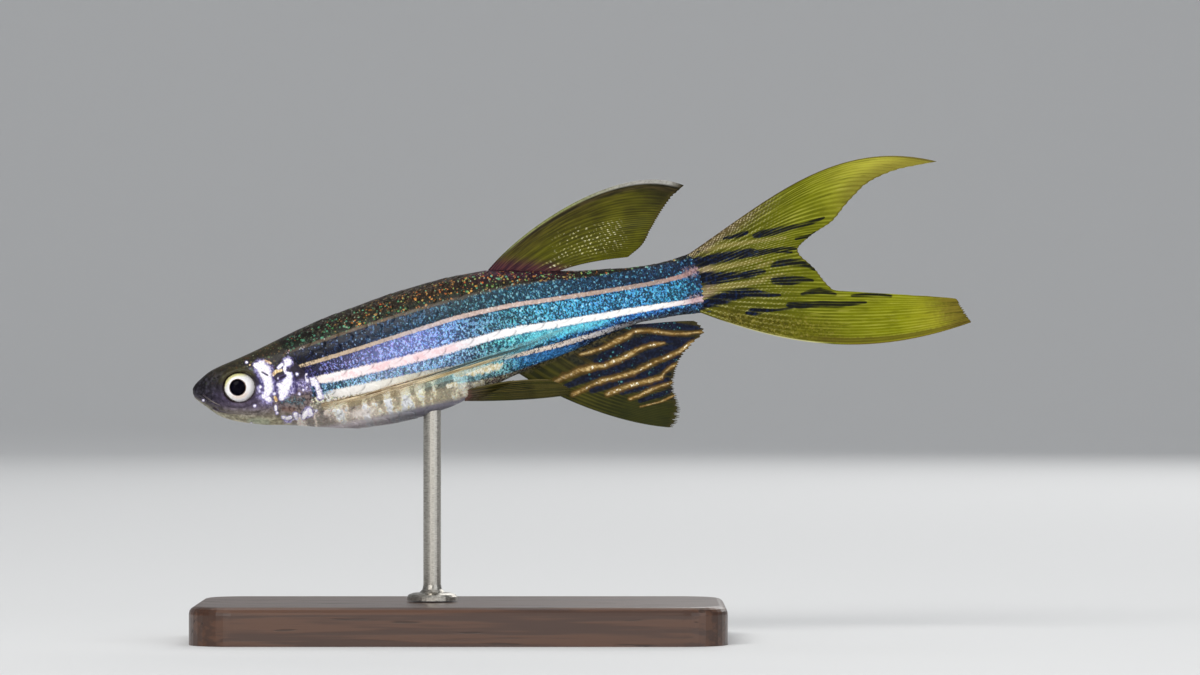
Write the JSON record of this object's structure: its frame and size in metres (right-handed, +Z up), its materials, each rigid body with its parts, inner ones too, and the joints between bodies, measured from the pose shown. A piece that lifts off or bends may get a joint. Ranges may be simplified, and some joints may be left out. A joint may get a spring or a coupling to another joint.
{
  "type": "zebra danio model on display stand",
  "caption": "Life-size long-finned zebra danio, slender with lengthwise blue and silver stripes and a long forked tail fin, swimming slightly head-down on a plain rod and flat base.",
  "frame": {"origin": "centre of the underside of the stand's base", "axes": "+Z up, -X towards the snout, +X towards the tail, -Y the fish's left side"},
  "size_m": [0.0529, 0.018, 0.0329],
  "materials": {
    "head_skin": "dark grey-purple skin, wet sheen",
    "jaw_skin": "pale grey jaw and throat, wet sheen",
    "gill_silver": "silver gill cover",
    "flank_skin": "scaled flank, blue with pale stripes",
    "tail_skin": "scaled tail stalk, blue-green with pale stripes",
    "eye_silver": "silver iris, dark pupil, clear cornea",
    "fin_film": "olive-yellow fin membrane",
    "anal_film": "fin membrane with dark and gold stripes",
    "paired_film": "pale gold fin membrane",
    "barbel_skin": "soft grey-brown skin",
    "base_wood": "dark stained, satin",
    "rod_metal": "satin"
  },
  "bodies": {
    "root": {"head": "head_skin", "lower_jaw": "jaw_skin", "gill_cover_l": "gill_silver", "gill_cover_r": "gill_silver", "trunk": "flank_skin", "tail": "tail_skin", "eye_l": "eye_silver", "eye_r": "eye_silver", "fin_dorsal": "fin_film", "fin_caudal": "fin_film", "fin_anal": "anal_film", "fin_pectoral_l": "paired_film", "fin_pectoral_r": "paired_film", "fin_pelvic_l": "paired_film", "fin_pelvic_r": "paired_film", "barbel_snout_l": "barbel_skin", "barbel_snout_r": "barbel_skin", "barbel_mouth_l": "barbel_skin", "barbel_mouth_r": "barbel_skin", "stand_base": "base_wood", "stand_rod": "rod_metal"}
  },
  "joints": []
}
